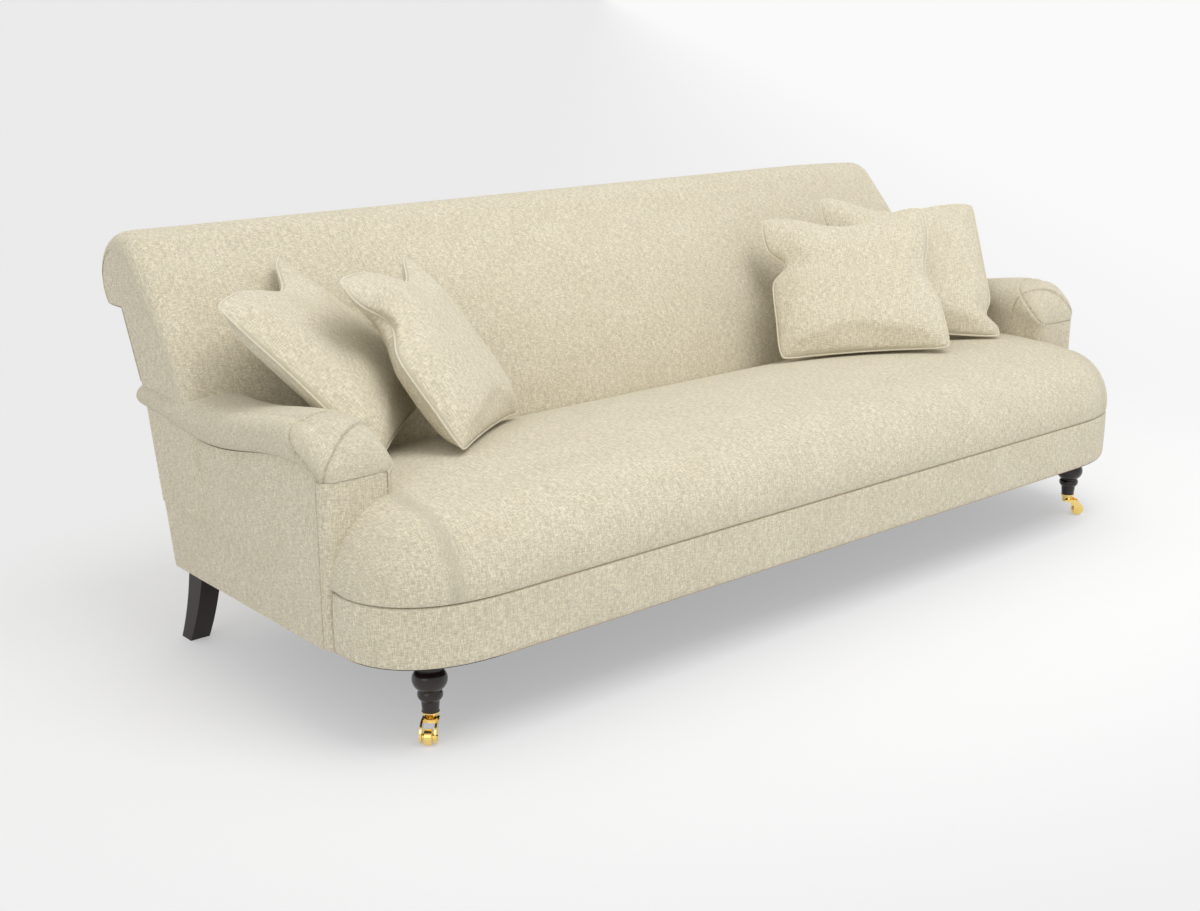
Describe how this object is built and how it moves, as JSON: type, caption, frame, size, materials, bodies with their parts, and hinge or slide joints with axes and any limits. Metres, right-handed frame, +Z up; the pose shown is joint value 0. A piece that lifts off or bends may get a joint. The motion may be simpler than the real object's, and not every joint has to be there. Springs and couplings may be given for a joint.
{
  "type": "english_roll_arm_sofa",
  "caption": "Long english roll arm sofa in oatmeal linen with a fixed seat, low rolled arms, scroll back, loose scatter cushions, turned front legs on brass castors and swept rear legs",
  "frame": {"origin": "on the floor, in the middle of the overall box of the sofa", "axes": "+X to the right along the sofa as its front faces the viewer, +Y from the front to the back, +Z up"},
  "size_m": [2.2982, 1.0517, 0.8379],
  "materials": {
    "linen": "slubbed plain weave in oatmeal linen, matte",
    "cushion_linen": "the same linen on the scatter cushions, with self piping",
    "dark_gloss_wood": "turned beech stained near black, glossy",
    "dark_satin_wood": "beech stained near black, satin",
    "frame_timber": "raw sawn hardwood",
    "brass": "polished and lacquered",
    "spring_steel": "drawn wire, uncoated",
    "bolt_steel": "zinc plated",
    "fibre_padding": "layered fibre and felt wadding",
    "feather_pad": "white feather-proof cotton",
    "hessian": "coarse jute weave",
    "webbing": "herringbone jute webbing",
    "dust_cloth": "thin black bottoming cloth"
  },
  "bodies": {
    "sofa": {"front_rail": "frame_timber", "front_corner_block_left": "frame_timber", "front_corner_block_right": "frame_timber", "side_rail_left": "frame_timber", "side_rail_right": "frame_timber", "back_rail": "frame_timber", "seat_cross_rails": "frame_timber", "leg_blocks": "frame_timber", "arm_stump_left": "frame_timber", "arm_stump_right": "frame_timber", "arm_board_left": "frame_timber", "arm_board_right": "frame_timber", "back_post_left": "frame_timber", "back_post_right": "frame_timber", "back_centre_post": "frame_timber", "back_top_rail": "frame_timber", "back_tack_rail": "frame_timber", "seat_springs": "spring_steel", "seat_platform": "hessian", "seat_padding": "fibre_padding", "seat_cover": "linen", "border_cover": "linen", "dust_cover": "dust_cloth", "back_webbing": "webbing", "back_padding": "fibre_padding", "inside_back_cover": "linen", "outside_back_cover": "linen", "back_end_panel_left": "linen", "back_end_panel_right": "linen", "arm_padding_left": "fibre_padding", "arm_padding_right": "fibre_padding", "arm_cover_left": "linen", "arm_cover_right": "linen", "arm_facing_left": "linen", "arm_facing_right": "linen", "outside_arm_cover_left": "linen", "outside_arm_cover_right": "linen", "front_leg_left": "dark_gloss_wood", "front_leg_right": "dark_gloss_wood", "rear_leg_left": "dark_satin_wood", "rear_leg_right": "dark_satin_wood", "leg_bolts": "bolt_steel", "castor_cup_left": "brass", "castor_cup_right": "brass"},
    "castor_right": {"castor_horn_right": "brass", "castor_axle_right": "brass"},
    "wheel_right": {"castor_wheel_right": "brass"},
    "castor_left": {"castor_horn_left": "brass", "castor_axle_left": "brass"},
    "wheel_left": {"castor_wheel_left": "brass"},
    "cushion_front_right": {"cushion_cover_front_right": "cushion_linen", "cushion_pad_front_right": "feather_pad"},
    "cushion_rear_right": {"cushion_cover_rear_right": "cushion_linen", "cushion_pad_rear_right": "feather_pad"},
    "cushion_front_left": {"cushion_cover_front_left": "cushion_linen", "cushion_pad_front_left": "feather_pad"},
    "cushion_rear_left": {"cushion_cover_rear_left": "cushion_linen", "cushion_pad_rear_left": "feather_pad"}
  },
  "joints": [
    {"name": "castor_swivel_right", "type": "hinge", "parent": "sofa", "child": "castor_right", "pos_m": [1, -0.424, 0.042], "axis": [0, 0, 1], "continuous": true},
    {"name": "wheel_roll_right", "type": "hinge", "parent": "castor_right", "child": "wheel_right", "pos_m": [1.01909, -0.44309, 0.015], "axis": [0.7071, 0.7071, 0], "continuous": true},
    {"name": "castor_swivel_left", "type": "hinge", "parent": "sofa", "child": "castor_left", "pos_m": [-1, -0.424, 0.042], "axis": [0, 0, 1], "continuous": true},
    {"name": "wheel_roll_left", "type": "hinge", "parent": "castor_left", "child": "wheel_left", "pos_m": [-1.01909, -0.44309, 0.015], "axis": [-0.7071, 0.7071, 0], "continuous": true},
    {"name": "lift_front_right", "type": "slide", "parent": "sofa", "child": "cushion_front_right", "axis": [-0.0861, -0.0097, 0.9962], "range_m": [0, 0.3]},
    {"name": "lift_rear_right", "type": "slide", "parent": "sofa", "child": "cushion_rear_right", "axis": [0.4315, 0.5622, 0.7055], "range_m": [0, 0.25]},
    {"name": "lift_front_left", "type": "slide", "parent": "sofa", "child": "cushion_front_left", "axis": [0.1296, -0.0724, 0.9889], "range_m": [0, 0.3]},
    {"name": "lift_rear_left", "type": "slide", "parent": "sofa", "child": "cushion_rear_left", "axis": [-0.4112, 0.3799, 0.8286], "range_m": [0, 0.25]}
  ]
}
